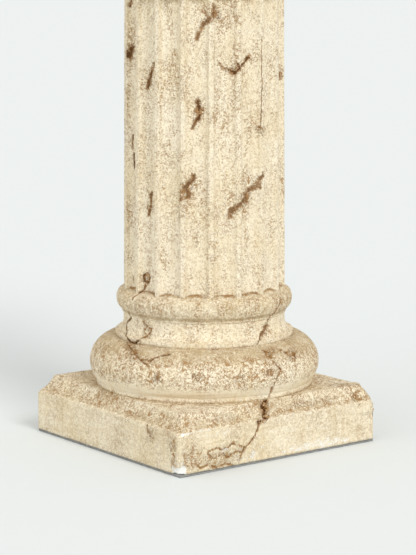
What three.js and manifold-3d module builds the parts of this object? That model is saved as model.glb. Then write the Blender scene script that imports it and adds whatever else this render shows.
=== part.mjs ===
// A decorative column of cast plaster: a square plinth under a round base, a fluted shaft and a leafy capital.
// It stands on a thin board that closes its hollow underside. Millimetres, +Z up, origin at the middle of the board's
// underside, with the plinth's sides along X and Y.
import * as THREE from "three";
import { mergeVertices } from "three/addons/utils/BufferGeometryUtils.js";
import Module from "manifold-3d";

// Heights of the three cast lengths, and the gap left between pieces that touch
const baseBoardThickness = 3.5;
const plinthFaceHeight = 49.7;
const plinthCoveHeight = 20;
const lipHeight = 4;
const torusTube = 33.5;
const torusCentreHeight = 24;
const filletHeight = 6.5;
const neckHeight = 27;
const astragalHeight = 27.5;
const shaftLength = 370.5;
const neckingHeight = 18;
const capitalHeight = 215.2;
const contactGap = 0.3;

// Widths and radii
const plinthSide = 310;
const plinthCoveInset = 15;
const plinthCoveHollow = 0.4; // 0 is a straight slope, 1 a full quarter of an ellipse
const baseBoardInset = 2;
const lipProud = 2;
const torusCentreRadius = 112.2;
const shaftFootRadius = 102.2;
const shaftHeadRadius = 99.4;
const astragalProud = 9.2;
const neckingProud = 7.5;

// Flutes
const fluteCount = 18;
const fluteDepth = 7.5;
const arrisWidth = 7;
const fluteTurn = -2.4; // degrees from the X axis to the first arris

// Capital
const bellFootRadius = 86;
const bellLipRadius = 112;
const abacusThickness = 30;
const abacusReach = 146; // from the axis to the outer side of a horn, along X or Y
const abacusHollow = 31; // how far each side curves in at its middle
const hornWidth = 32;
const abacusCoveInset = 9;
const leavesInRow = 8;
const lowerLeaf = { height: 66, width: 62, stand: 11, lean: 5, curl: 10, notch: 0.34, stem: 0, turn: 22.5 };
const upperLeaf = { height: 128, width: 62, stand: 6, lean: 9, curl: 11, notch: 0.34, stem: 0.34, turn: 0 };
const leafLobes = 3;
const leafRelief = 3.2;
const leafTipThickness = 6;
const leafRoll = 195; // degrees that a leaf's tip curls over
const volute = { radius: 23, eye: 6, width: 38, band: 5, dish: 4, facets: 12, stalkSteps: 4, reach: 154 };
const helix = { radius: 13, eye: 4, width: 30, band: 4, dish: 0, facets: 10, stalkSteps: 3, reach: 121 };
const flowerRadius = 17;
const flowerPetals = 5;

// Chips broken off the plinth
const footChip = 13;
const headChip = 10;
const cornerWear = 2.5;

// Roundness
const roundSteps = 48;
const arcSteps = 7;
const smoothing = 1.4; // how far the capital's triangles may move as they are merged

const plaster = { color: 0xe9dcbc, roughness: 0.9, metalness: 0 };
const greyBoard = { color: 0x77736a, roughness: 0.95, metalness: 0 };

const wasm = await Module();
wasm.setup();

// Heights that follow from the ones above
const plinthFootZ = baseBoardThickness + contactGap;
const plinthFaceZ = plinthFootZ + plinthFaceHeight;
const plinthTopZ = plinthFaceZ + plinthCoveHeight;
const torusCentreZ = plinthTopZ + lipHeight + torusCentreHeight;
const torusTopZ = torusCentreZ + torusTube;
const neckFootZ = torusTopZ + filletHeight;
const astragalFootZ = neckFootZ + neckHeight;
const shaftFootZ = astragalFootZ + astragalHeight;
const shaftHeadZ = shaftFootZ + shaftLength;
const neckingTopZ = shaftHeadZ + neckingHeight;
const capitalFootZ = neckingTopZ + contactGap;
const capitalTopZ = capitalFootZ + capitalHeight;
const abacusFootZ = capitalTopZ - abacusThickness;

const radians = THREE.MathUtils.degToRad;
const mix = THREE.MathUtils.lerp;
const ease = THREE.MathUtils.smoothstep;

function solidOf(geometry) {
  const bare = geometry.index ? geometry.toNonIndexed() : geometry.clone();
  bare.deleteAttribute("normal");
  bare.deleteAttribute("uv");
  const merged = mergeVertices(bare, 1e-3);
  return new wasm.Manifold(
    new wasm.Mesh({
      numProp: 3,
      vertProperties: merged.attributes.position.array,
      triVerts: new Uint32Array(merged.index.array),
    }),
  );
}

function meshOf(solid, name, look) {
  const { vertProperties, triVerts } = solid.getMesh();
  const geometry = new THREE.BufferGeometry()
    .setAttribute("position", new THREE.BufferAttribute(vertProperties, 3))
    .setIndex(new THREE.BufferAttribute(triVerts, 1));
  geometry.computeVertexNormals();
  const mesh = new THREE.Mesh(geometry, new THREE.MeshStandardMaterial(look));
  mesh.name = name;
  return mesh;
}

function join(solids) {
  return solids.reduce((whole, next) => whole.add(next));
}

// Fills the pockets that are closed in on every side, so that a casting is solid throughout.
function withoutPockets(solid) {
  return join(solid.decompose().filter((shell) => shell.volume() > 0));
}

// Points [radius, height] along an arc, angles in degrees from the outward direction.
function arc(centreRadius, centreHeight, size, from, to, steps = arcSteps) {
  return Array.from({ length: steps + 1 }, (_, i) => {
    const angle = radians(mix(from, to, i / steps));
    return [centreRadius + size * Math.cos(angle), centreHeight + size * Math.sin(angle)];
  });
}

// A curve from one [radius, height] to another, hollowed towards the axis: a quarter of an ellipse, or shallower.
function cove([r0, z0], [r1, z1], steps, hollow = 1) {
  return Array.from({ length: steps + 1 }, (_, i) => {
    const share = i / steps;
    const angle = (share * Math.PI) / 2;
    return [mix(r0, r1, mix(share, Math.sin(angle), hollow)), mix(z0, z1, mix(share, 1 - Math.cos(angle), hollow))];
  });
}

function lathe(profile, steps = roundSteps) {
  const closed = [[0, profile[0][1]], ...profile, [0, profile.at(-1)[1]]];
  const points = closed.map(([r, z]) => new THREE.Vector2(r, z));
  return solidOf(new THREE.LatheGeometry(points, steps).rotateX(Math.PI / 2));
}

// A closed solid from rings of equal count, each a list of Vector3 running anticlockwise seen from the last ring.
function loft(rings) {
  const triangles = [];
  const middle = (ring) => ring.reduce((sum, p) => sum.add(p), new THREE.Vector3()).divideScalar(ring.length);
  const count = rings[0].length;
  for (let i = 0; i < count; i += 1) {
    const next = (i + 1) % count;
    rings.slice(1).forEach((upper, level) => {
      const lower = rings[level];
      triangles.push(lower[i], lower[next], upper[next], lower[i], upper[next], upper[i]);
    });
    triangles.push(rings[0][next], rings[0][i], middle(rings[0]));
    triangles.push(rings.at(-1)[i], rings.at(-1)[next], middle(rings.at(-1)));
  }
  return solidOf(new THREE.BufferGeometry().setFromPoints(triangles));
}

const polar = (radius, angle, z) => new THREE.Vector3(radius * Math.cos(angle), radius * Math.sin(angle), z);

// A square of the given half side, its corners cut off.
function squareRing(side, cut, z) {
  const quarter = [new THREE.Vector3(side, side - cut, z), new THREE.Vector3(side - cut, side, z)];
  const up = new THREE.Vector3(0, 0, 1);
  return [0, 90, 180, 270].flatMap((turn) => quarter.map((p) => p.clone().applyAxisAngle(up, radians(turn))));
}

// The square plinth: upright faces with a hollowed slope above them, and two corners chipped.
function plinth() {
  const half = plinthSide / 2;
  const slope = cove([half, plinthFaceZ], [half - plinthCoveInset, plinthTopZ], 4, plinthCoveHollow);
  const profile = [[half, plinthFootZ], ...slope];
  const block = loft(profile.map(([side, z]) => squareRing(side, cornerWear, z)));
  const chipAt = (x, y, z, size) =>
    solidOf(new THREE.OctahedronGeometry(size).rotateZ(radians(20)).rotateX(radians(25)).translate(x, y, z));
  return block
    .subtract(chipAt(-half, -half, plinthFootZ + footChip, footChip))
    .subtract(chipAt(half, -half, plinthFaceZ, headChip));
}

// The round mouldings between the plinth and the shaft, from the lip under the torus to the astragal.
function roundBase() {
  const lipRadius = torusCentreRadius + Math.sqrt(torusTube ** 2 - torusCentreHeight ** 2) + lipProud;
  const lipAngle = -THREE.MathUtils.radToDeg(Math.asin(torusCentreHeight / torusTube)) + 4;
  const torus = arc(torusCentreRadius, torusCentreZ, torusTube, lipAngle, 90);
  const neckFoot = [torusCentreRadius, neckFootZ];
  const neckRise = 0.55 * neckHeight;
  const noseZ = astragalFootZ + 0.55 * astragalHeight;
  const noseRadius = shaftFootRadius + astragalProud;
  const ledge = fluteDepth * 0.8;
  return lathe([
    [lipRadius, plinthTopZ - contactGap],
    [lipRadius, plinthTopZ + lipHeight * 0.7],
    ...torus,
    neckFoot,
    ...cove(neckFoot, [shaftFootRadius, neckFootZ + neckRise], 3).slice(1),
    [shaftFootRadius, astragalFootZ],
    [mix(shaftFootRadius, noseRadius, 0.7), mix(astragalFootZ, noseZ, 0.55)],
    [mix(shaftFootRadius, noseRadius, 0.93), mix(astragalFootZ, noseZ, 0.8)],
    [noseRadius, noseZ],
    [mix(shaftFootRadius, noseRadius, 0.87), mix(noseZ, shaftFootZ, 0.5)],
    [shaftFootRadius, shaftFootZ],
    [shaftFootRadius - fluteDepth - 1, shaftFootZ + ledge],
  ]);
}

// One level of the fluted shaft. Each flute is a hollow between two flat arrises.
function flutedRing(radius, z) {
  const pitch = (2 * Math.PI) / fluteCount;
  const halfHollow = (pitch - arrisWidth / radius) / 2;
  const acrossHollow = [-1, -0.6, 0, 0.6, 1];
  return Array.from({ length: fluteCount }, (_, i) => {
    const middle = radians(fluteTurn) + pitch * (i + 0.5);
    return acrossHollow.map((share) => {
      const depth = fluteDepth * Math.cos((share * Math.PI) / 2) ** 0.8;
      return polar(radius - (Math.abs(share) < 1 ? depth : 0), middle + share * halfHollow, z);
    });
  }).flat();
}

function shaft() {
  const sunk = 8;
  return loft([flutedRing(shaftFootRadius, shaftFootZ - sunk), flutedRing(shaftHeadRadius, shaftHeadZ + sunk)]);
}

// The bead that closes the flutes at the shaft's head.
function necking() {
  const bead = neckingHeight * 0.42;
  const beadZ = shaftHeadZ + bead + 1;
  const beadRadius = shaftHeadRadius + neckingProud;
  return lathe([
    [shaftHeadRadius - fluteDepth - 1, shaftHeadZ - 2],
    [shaftHeadRadius, shaftHeadZ + 1],
    ...arc(beadRadius - bead, beadZ, bead, -60, 70, 3),
    [shaftHeadRadius, beadZ + bead],
    [shaftHeadRadius, neckingTopZ],
  ]);
}

// The bell's radius at a height above the capital's foot.
function bellRadius(height) {
  const share = THREE.MathUtils.clamp(height / (capitalHeight - abacusThickness), 0, 1);
  return bellFootRadius + (bellLipRadius - bellFootRadius) * (0.15 * share + 0.85 * share ** 4);
}

function bell() {
  const levels = [0, 0.5, 0.8, 0.92, 1];
  const reach = capitalHeight - abacusThickness;
  const profile = levels.map((share) => [bellRadius(share * reach), capitalFootZ + share * reach + (share === 1 ? 2 : 0)]);
  return lathe(profile, roundSteps / 2);
}

// Where a leaf's spine runs at a share of its length: height and stand-off from the bell, and the way it faces.
function leafSpine(leaf, along) {
  const straight = leaf.height - leaf.curl;
  const rolled = radians(leafRoll);
  const bendAt = straight / (straight + leaf.curl * rolled);
  const rise = Math.min(along / bendAt, 1);
  const turned = rolled * Math.max(0, (along - bendAt) / (1 - bendAt));
  return {
    height: straight * rise + leaf.curl * Math.sin(turned),
    stand: leaf.stand + leaf.lean * rise ** 2 + leaf.curl * (1 - Math.cos(turned)),
    faceUp: -Math.sin(turned),
    faceOut: Math.cos(turned),
    curled: ease(along, bendAt - 0.06, bendAt + 0.12),
  };
}

// A point of a leaf. edge runs from its foot to its tip along one side, out from the midrib to the edge.
function leafPoint(leaf, side, edge, out, isBack) {
  const lobed = Math.max(0, (edge - leaf.stem) / (1 - leaf.stem));
  const crown = Math.abs(Math.sin(Math.PI * leafLobes * lobed)) ** 0.8;
  const spread = leaf.stem > 0 ? mix(0.22, 1, ease(edge, leaf.stem - 0.1, leaf.stem + 0.14)) : 1;
  const outline = (0.8 + 0.3 * Math.sin(Math.PI * lobed * 0.85)) * Math.sqrt(1 - edge ** 5) * spread;
  const across = (side * out * outline * (1 - leaf.notch * (1 - crown)) * leaf.width) / 2;
  const along = mix(0.78 * edge, Math.min(1, edge + 0.04 * crown * (1 - edge)), out);
  const spine = leafSpine(leaf, along);
  const relief = leafRelief * (crown * out * (1.3 - out) + 0.9 * (1 - out) ** 2 * (1 - along));
  const depth = mix(spine.stand + 4, leafTipThickness, spine.curled);
  const offset = relief - (isBack ? depth : 0);
  const height = spine.height + spine.faceUp * offset;
  const radius = bellRadius(spine.height) + spine.stand + spine.faceOut * offset;
  const angle = radians(leaf.turn) + across / (bellRadius(spine.height) + spine.stand);
  return polar(radius, angle, capitalFootZ + height);
}

function acanthusLeaf(leaf, turn) {
  const placed = { ...leaf, turn: leaf.turn + turn };
  const lobeSteps = leafLobes * 2;
  const edges = Array.from({ length: lobeSteps + 1 }, (_, i) => mix(leaf.stem, 1, i / lobeSteps));
  if (leaf.stem > 0) edges.unshift(0);
  const outs = 2;
  const triangles = [];
  for (const side of [-1, 1]) {
    const front = (i, j) => leafPoint(placed, side, edges[i], j / outs, false);
    const back = (i, j) => leafPoint(placed, side, edges[i], j / outs, true);
    const face = (...corners) => {
      const turned = side > 0 ? corners : corners.reverse();
      for (let k = 2; k < turned.length; k += 1) triangles.push(turned[0], turned[k - 1], turned[k]);
    };
    for (let i = 0; i + 1 < edges.length; i += 1) {
      for (let j = 0; j < outs; j += 1) face(front(i, j), front(i, j + 1), front(i + 1, j + 1), front(i + 1, j));
      face(back(i + 1, 0), back(i + 1, outs), back(i, outs), back(i, 0));
      face(front(i, outs), back(i, outs), back(i + 1, outs), front(i + 1, outs));
    }
    face(back(0, 0), back(0, outs), front(0, outs), front(0, 1), front(0, 0));
  }
  return solidOf(new THREE.BufferGeometry().setFromPoints(triangles));
}

// A band of rectangular section along a path. wide is the direction of its width at each step.
function band(path, wides, widths, thickness) {
  const rings = path.map((point, i) => {
    const before = path[Math.max(i - 1, 0)];
    const after = path[Math.min(i + 1, path.length - 1)];
    const along = after.clone().sub(before).normalize();
    const wide = wides[i].clone().addScaledVector(along, -wides[i].dot(along)).normalize();
    const thick = wide.clone().cross(along);
    const corner = (w, t) =>
      point.clone().addScaledVector(wide, (w * widths[i]) / 2).addScaledVector(thick, (t * thickness) / 2);
    return [corner(1, -1), corner(-1, -1), corner(-1, 1), corner(1, 1)];
  });
  return loft(rings);
}

// The rolled end of a scroll: a drum with dished sides, its axis across the upright plane at turn degrees.
function drum(shape, turn, eyeRadius, eyeHeight) {
  const half = shape.width / 2;
  const bowl = shape.radius - shape.band;
  const dish = shape.dish > 0 ? [[shape.radius, half], [bowl, half], [bowl - 1, half - shape.dish]] : [[shape.radius, half - 1.5]];
  dish.push([shape.eye, half]);
  const rows = [...dish.toReversed().map(([r, z]) => [r, -z]), ...dish];
  const rolled = lathe(rows, shape.facets).rotate([90, 0, 0]);
  return rolled.translate([eyeRadius, 0, capitalFootZ + eyeHeight]).rotate([0, 0, turn]);
}

// The stalk that climbs the bell from one place to another, each given as turn, radius and height.
function stalk(from, to, shape, width) {
  const steps = shape.stalkSteps;
  const path = [];
  const wides = [];
  const widths = [];
  for (let i = 0; i <= steps; i += 1) {
    const share = i / steps;
    const angle = radians(mix(from.turn, to.turn, share ** 0.8));
    const height = mix(from.height, to.height, Math.sin((share * Math.PI) / 2));
    path.push(polar(mix(from.radius, to.radius, share ** 1.9), angle, capitalFootZ + height));
    wides.push(new THREE.Vector3(-Math.sin(angle), Math.cos(angle), 0));
    widths.push(mix(0.6, 1, share) * width);
  }
  return band(path, wides, widths, shape.band);
}

// The abacus: four hollow sides between cut horns, with a cove below its edge.
function abacus() {
  const hornHalf = hornWidth / 2;
  const sideSteps = 6;
  const sideFrom = abacusReach - hornHalf * Math.SQRT2;
  const plan = (inset) =>
    [0, 90, 180, 270].flatMap((turn) =>
      Array.from({ length: sideSteps + 1 }, (_, i) => {
        const share = mix(-1, 1, i / sideSteps);
        const x = abacusReach - abacusHollow * (1 - share ** 2) - inset;
        return new THREE.Vector2(x, share * (sideFrom - inset * 0.6)).rotateAround(new THREE.Vector2(), radians(turn));
      }),
    );
  const ring = (inset, z) => plan(inset).map((p) => new THREE.Vector3(p.x, p.y, z));
  return loft([
    ring(abacusCoveInset, abacusFootZ),
    ring(abacusCoveInset * 0.85, mix(abacusFootZ, capitalTopZ, 0.3)),
    ring(0, mix(abacusFootZ, capitalTopZ, 0.55)),
    ring(0, capitalTopZ),
  ]);
}

// The flower at the middle of each side of the abacus.
function flower(turn) {
  const depth = 15;
  const steps = flowerPetals * 2;
  const middleZ = mix(abacusFootZ, capitalTopZ, 0.42);
  const outline = (size, x) =>
    Array.from({ length: steps }, (_, i) => {
      const angle = (i / steps) * 2 * Math.PI;
      const r = size * (0.84 + 0.16 * Math.cos(angle * flowerPetals));
      return new THREE.Vector3(x, r * Math.cos(angle), middleZ + r * Math.sin(angle));
    });
  const from = abacusReach - abacusHollow - 12;
  const solid = loft([
    outline(flowerRadius * 0.8, from),
    outline(flowerRadius, from + depth),
    outline(flowerRadius * 0.35, from + depth + 4),
    outline(flowerRadius * 0.25, from + depth + 9),
  ]);
  return solid.rotate([0, 0, turn]);
}

function capital() {
  const quarter = [0, 90, 180, 270];
  const parts = [bell(), abacus(), ...quarter.map(flower)];
  for (let i = 0; i < leavesInRow; i += 1) {
    const turn = (i * 360) / leavesInRow;
    parts.push(acanthusLeaf(lowerLeaf, turn), acanthusLeaf(upperLeaf, turn));
  }
  const underAbacus = capitalHeight - abacusThickness;
  const stalkFoot = (turn, height) => ({ turn, height, radius: bellRadius(height) + 2 });
  const voluteEye = underAbacus - volute.radius + 1;
  const helixEye = underAbacus - helix.radius;
  for (const side of quarter) {
    const corner = side + 45;
    parts.push(drum(volute, corner, volute.reach, voluteEye), drum(helix, side, helix.reach, helixEye));
    for (const hand of [-1, 1]) {
      const foot = stalkFoot(corner + hand * 22.5, upperLeaf.height * 0.72);
      const crown = { turn: corner + hand * 4, height: voluteEye + volute.radius - 4, radius: volute.reach };
      parts.push(stalk(foot, crown, volute, volute.width * 0.45));
      const helixFoot = stalkFoot(side + hand * 22.5, upperLeaf.height * 0.78);
      const helixCrown = { turn: side + hand * 4, height: helixEye + helix.radius - 3, radius: helix.reach };
      parts.push(stalk(helixFoot, helixCrown, helix, helix.width * 0.42));
    }
  }
  return join(parts);
}

const group = new THREE.Group();
const half = plinthSide / 2 - baseBoardInset;
const boardBox = new THREE.BoxGeometry(2 * half, 2 * half, baseBoardThickness).translate(0, 0, baseBoardThickness / 2);
group.add(meshOf(solidOf(boardBox), "base_board", greyBoard));
group.add(meshOf(join([plinth(), roundBase(), shaft(), necking()]).simplify(0.15), "column", plaster));
group.add(meshOf(withoutPockets(capital().simplify(smoothing)), "capital", plaster));

export default group;
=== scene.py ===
# Weathered plaster column: square plinth, round base, fluted shaft and a leafy capital.
# Sizes are millimetres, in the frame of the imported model; turns are degrees round the column from +X.
import math
from functools import partial

import bmesh
import bpy
import numpy as np
from mathutils import Matrix, Vector


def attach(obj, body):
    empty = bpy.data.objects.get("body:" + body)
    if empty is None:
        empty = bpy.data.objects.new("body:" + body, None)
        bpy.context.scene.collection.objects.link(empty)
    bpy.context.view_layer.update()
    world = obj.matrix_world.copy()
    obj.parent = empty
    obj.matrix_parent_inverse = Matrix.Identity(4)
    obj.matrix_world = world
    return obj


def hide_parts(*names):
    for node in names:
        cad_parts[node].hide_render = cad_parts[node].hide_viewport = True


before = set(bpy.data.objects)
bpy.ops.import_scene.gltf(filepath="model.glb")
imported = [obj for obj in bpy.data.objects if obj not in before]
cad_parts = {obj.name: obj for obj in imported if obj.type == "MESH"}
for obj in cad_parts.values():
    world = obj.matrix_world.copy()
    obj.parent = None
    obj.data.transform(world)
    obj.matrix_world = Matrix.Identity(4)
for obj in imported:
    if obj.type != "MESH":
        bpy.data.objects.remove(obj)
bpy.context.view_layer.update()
mm = 0.001


# Helpers for node trees

def srgb(*levels):
    values = [v / 255 for v in levels]
    return tuple(v / 12.92 if v <= 0.04045 else ((v + 0.055) / 1.055) ** 2.4 for v in values) + (1.0,)


def feed(tree, socket, value):
    if isinstance(value, bpy.types.NodeSocket):
        tree.links.new(value, socket)
    else:
        socket.default_value = value


def addNode(tree, kind, settings=None, **values):
    node = tree.nodes.new(kind)
    for key, value in (settings or {}).items():
        setattr(node, key, value)
    for key, value in values.items():
        numbered = key[0] == "i" and key[1:].isdigit()  # i0, i1 are inputs by their number
        place = int(key[1:]) if numbered else key
        feed(tree, node.inputs[place], value)
    return node


def maths(tree, operation, *values, clamp=False):
    node = tree.nodes.new("ShaderNodeMath")
    node.operation = operation
    node.use_clamp = clamp
    for socket, value in zip(node.inputs, values):
        feed(tree, socket, value)
    return node.outputs[0]


def arithmetic(tree):
    return [partial(maths, tree, kind) for kind in ("ADD", "SUBTRACT", "MULTIPLY", "DIVIDE")]


def mapRange(tree, value, low, high, fromValue=0.0, toValue=1.0):
    node = addNode(tree, "ShaderNodeMapRange", {"interpolation_type": "SMOOTHSTEP"}, Value=value)
    for name, number in (("From Min", low), ("From Max", high), ("To Min", fromValue), ("To Max", toValue)):
        feed(tree, node.inputs[name], number)
    return node.outputs["Result"]


def stretched(tree, vector, scale):
    return addNode(tree, "ShaderNodeMapping", Vector=vector, Scale=scale).outputs[0]


def noiseOf(tree, vector, scale, detail=2.0, roughness=0.5, distortion=0.0):
    return addNode(tree, "ShaderNodeTexNoise", Vector=vector, Scale=scale, Detail=detail, Roughness=roughness,
                   Distortion=distortion).outputs[0]


def mixColour(tree, share, first, second):
    return addNode(tree, "ShaderNodeMix", {"data_type": "RGBA"}, i0=share, i6=first, i7=second).outputs[2]


# Camera, lights and room

view = {
    "distance": 2777.7,
    "height": 675.8,
    "azimuth": -127.36,  # where the camera stands round the column
    "turnRight": 0.10,
    "lookDown": 9.60,
    "lens": 144,
    "sensor": 36,
    "farthest": 50,  # metres
}
suns = [  # azimuth is counted from the camera's own, and spread softens the shadows
    {"name": "key", "azimuth": 32, "elevation": 38, "spread": 24, "power": 1.52},
    {"name": "fill", "azimuth": -56, "elevation": 22, "spread": 70, "power": 0.60},
]
sunColour = (1.0, 0.985, 0.965)
sunDistance = 3  # metres, and only the direction counts
room = {
    "light": (0.975, 0.96, 0.92, 1),
    "strength": 0.80,
    "seen": (0.855, 0.888, 0.871, 1),  # as pale as the lit floor, so that no horizon shows
}


def placeCamera():
    around = math.radians(view["azimuth"])
    camera = bpy.data.objects.new("camera", bpy.data.cameras.new("camera"))
    bpy.context.scene.collection.objects.link(camera)
    camera.data.lens = view["lens"]
    camera.data.sensor_width = view["sensor"]
    camera.data.clip_end = view["farthest"]
    reach = view["distance"] * mm
    camera.location = (reach * math.cos(around), reach * math.sin(around), view["height"] * mm)
    heading = around + math.pi - math.radians(view["turnRight"])
    camera.rotation_euler = (math.radians(90 - view["lookDown"]), 0, heading - math.pi / 2)
    bpy.context.scene.camera = camera


def addSun(sun):
    lamp = bpy.data.lights.new(sun["name"], "SUN")
    lamp.angle = math.radians(sun["spread"])
    lamp.energy = sun["power"]
    lamp.color = sunColour
    holder = bpy.data.objects.new(sun["name"], lamp)
    bpy.context.scene.collection.objects.link(holder)
    around, above = math.radians(view["azimuth"] + sun["azimuth"]), math.radians(sun["elevation"])
    spot = Vector((math.cos(around) * math.cos(above), math.sin(around) * math.cos(above), math.sin(above)))
    holder.location = spot * sunDistance
    holder.rotation_euler = (-spot).to_track_quat("-Z", "Y").to_euler()


def makeRoom():
    world = bpy.data.worlds.new("paleRoom")
    world.use_nodes = True
    tree = world.node_tree
    lit = tree.nodes["Background"]
    lit.inputs["Color"].default_value = room["light"]
    lit.inputs["Strength"].default_value = room["strength"]
    seen = addNode(tree, "ShaderNodeBackground", Color=room["seen"])
    rays = tree.nodes.new("ShaderNodeLightPath")
    either = addNode(tree, "ShaderNodeMixShader", i0=rays.outputs["Is Camera Ray"], i1=lit.outputs[0],
                     i2=seen.outputs[0])
    tree.links.new(either.outputs[0], tree.nodes["World Output"].inputs["Surface"])
    bpy.context.scene.world = world


placeCamera()
for sun in suns:
    addSun(sun)
makeRoom()
bpy.context.scene.view_settings.view_transform = "Standard"


# Plaster finish

plasterLook = {
    "cream": srgb(233, 218, 185),
    "pale": srgb(242, 233, 211),
    "shade": srgb(216, 194, 156),
    "speck": srgb(156, 116, 66),
    # One colour for grime and for painted shade and shadow
    "grime colour": srgb(176, 155, 118),
    "stain colour": srgb(180, 136, 86),
    "burnt colour": srgb(76, 42, 12),
    "chalk colour": srgb(240, 240, 236),
}
plasterRelief = {
    "distance": 0.0015, "strength": 0.6,
    "holes": -0.5, "grain": 0.25, "crumb": 0.35, "lines": -0.35, "torn": -1.2,
}
plasterSheen = 0.06
# Painted on the mesh as attributes, from 0 to 1. The grime mark also carries painted shade and shadow in
# creases, under overhangs and in the capital's hollows
plasterMarks = ("stain", "burnt", "chalk", "grime", "stipple", "streak")
# How each set of noises is stretched, then each noise's set, scale, detail, roughness and distortion
noiseSets = {"even": (1, 1, 1), "upright": (1, 1, 0.45), "brushed": (0.25, 0.25, 6), "drawn": (1, 1, 0.06)}
plasterNoises = {
    "cloud": ("even", 15, 3, 0.5, 0),
    "patch": ("upright", 62, 3, 0.55, 0.4),
    "blotch": ("even", 165, 3, 0.65, 1.0),
    "drawn": ("drawn", 190, 3, 0.6, 0),
    "stroke": ("brushed", 60, 3, 0.6, 0),
    "tear": ("even", 210, 1.5, 0.55, 2.4),
    "worm": ("even", 215, 1.5, 0.55, 2.0),
    "crumb": ("even", 240, 3, 0.65, 0.6),
    "pit": ("even", 300, 2, 0.55, 1.6),
    "fine": ("even", 520, 2, 0.6, 0.8),
    "grain": ("even", 800, 2, 0.6, 0),
}


def makePlasterGroup():
    group = bpy.data.node_groups.new("weatheredPlaster", "ShaderNodeTree")
    for name in plasterLook:
        group.interface.new_socket(name.capitalize(), in_out="INPUT", socket_type="NodeSocketColor")
    for name in plasterMarks:
        group.interface.new_socket(name.capitalize(), in_out="INPUT", socket_type="NodeSocketFloat")
    for name, kind in (("Colour", "Color"), ("Roughness", "Float"), ("Relief", "Float")):
        group.interface.new_socket(name, in_out="OUTPUT", socket_type="NodeSocket" + kind)
    given = group.nodes.new("NodeGroupInput").outputs
    result = group.nodes.new("NodeGroupOutput").inputs
    place = group.nodes.new("ShaderNodeTexCoord").outputs["Object"]
    plus, minus, times = arithmetic(group)[:3]
    ramp, mixed = partial(mapRange, group), partial(mixColour, group)
    most = partial(maths, group, "MAXIMUM")

    sets = {name: stretched(group, place, scale) for name, scale in noiseSets.items()}
    noise = {name: noiseOf(group, sets[kind], *values) for name, (kind, *values) in plasterNoises.items()}
    patch, crumb, fine, drawn = (noise[name] for name in ("patch", "crumb", "fine", "drawn"))

    def loosely(value, crumbs, fines):
        value = plus(value, times(minus(crumb, 0.5), crumbs))
        return plus(value, times(minus(fine, 0.5), fines))

    # Pits and worm tracks everywhere, thicker in patches and where the piece says so
    share = plus(patch, times(given["Stipple"], 0.30))
    wormLine = maths(group, "ABSOLUTE", minus(noise["worm"], 0.5))
    wormWidth = ramp(share, 0.40, 0.80, 0.012, 0.034)
    worms = times(ramp(minus(wormLine, wormWidth), 0.0, 0.012, 1, 0), ramp(share, 0.40, 0.72, 0.36, 0.92))
    worms = times(worms, ramp(crumb, 0.48, 0.54))
    pits = times(ramp(noise["pit"], 0.565, 0.60), ramp(share, 0.40, 0.70, 0.45, 0.95))
    dust = times(ramp(fine, 0.57, 0.62), ramp(share, 0.40, 0.66, 0.46, 0.9))
    blotches = times(ramp(noise["blotch"], 0.555, 0.585), ramp(share, 0.54, 0.78))
    calm = minus(1.0, times(given["Streak"], 0.85), clamp=True)
    holes = times(most(most(times(worms, 0.95), pits), blotches), calm)
    marks = most(holes, times(dust, calm))

    # The plaster itself: cream clouds, bared paler patches and strokes drawn down it
    lines = times(ramp(noise["stroke"], 0.45, 0.70), given["Streak"])
    base = mixed(ramp(noise["cloud"], 0.34, 0.66, 0.1, 0.9), given["Cream"], given["Pale"])
    base = mixed(times(ramp(patch, 0.44, 0.60), ramp(crumb, 0.44, 0.54, 0.10, 0.9)), base, given["Pale"])
    base = mixed(ramp(crumb, 0.54, 0.66, 0.0, 0.4), base, given["Pale"])
    base = mixed(ramp(fine, 0.48, 0.36, 0.0, 0.8), base, given["Pale"])
    base = mixed(ramp(drawn, 0.50, 0.68, 0.0, 0.30), base, given["Shade"])
    base = mixed(ramp(drawn, 0.46, 0.34, 0.0, 0.5), base, given["Pale"])
    base = mixed(times(lines, 0.5), base, given["Shade"])
    # Grime mixed in, together with painted shade and shadow from the same mark
    grimeAndShadeShare = times(ramp(loosely(given["Grime"], 1.3, 1.2), 0.10, 0.80), given["Grime"])
    base = mixed(grimeAndShadeShare, base, given["Grime colour"])
    base = mixed(times(marks, 0.88), base, given["Speck"])

    # Gouges: ragged patches, tan at the rim and burnt brown in the middle; the same marks also darken the
    # folds at the flutes' foot, partly as painted shade. Last come the white losses, with pale lines along
    # the plinth's edges that are partly painted highlight
    ragged = loosely(given["Stain"], 1.3, 0.9)
    covered = times(ramp(ragged, 0.40, 0.54), ramp(given["Stain"], 0.04, 0.30))
    tears = ramp(maths(group, "ABSOLUTE", minus(noise["tear"], 0.5)), 0.022, 0.04, 1, 0)
    core = most(ramp(ragged, 0.66, 0.92), times(times(tears, ramp(given["Stain"], 0.12, 0.45)), 0.9))
    base = mixed(times(covered, 0.75), base, given["Stain colour"])
    base = mixed(times(core, given["Burnt"]), base, given["Burnt colour"])
    chalky = times(ramp(loosely(given["Chalk"], 1.1, 1.1), 0.46, 0.60), ramp(given["Chalk"], 0.02, 0.20))
    group.links.new(mixed(chalky, base, given["Chalk colour"]), result["Colour"])

    rough = plus(0.82, times(marks, 0.12))
    group.links.new(minus(rough, times(noise["cloud"], 0.06)), result["Roughness"])
    torn = most(times(covered, 0.4), core)
    relief = times(holes, plasterRelief["holes"])
    for source, key in ((noise["grain"], "grain"), (crumb, "crumb"), (lines, "lines"), (torn, "torn")):
        relief = plus(relief, times(source, plasterRelief[key]))
    group.links.new(relief, result["Relief"])
    return group


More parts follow.
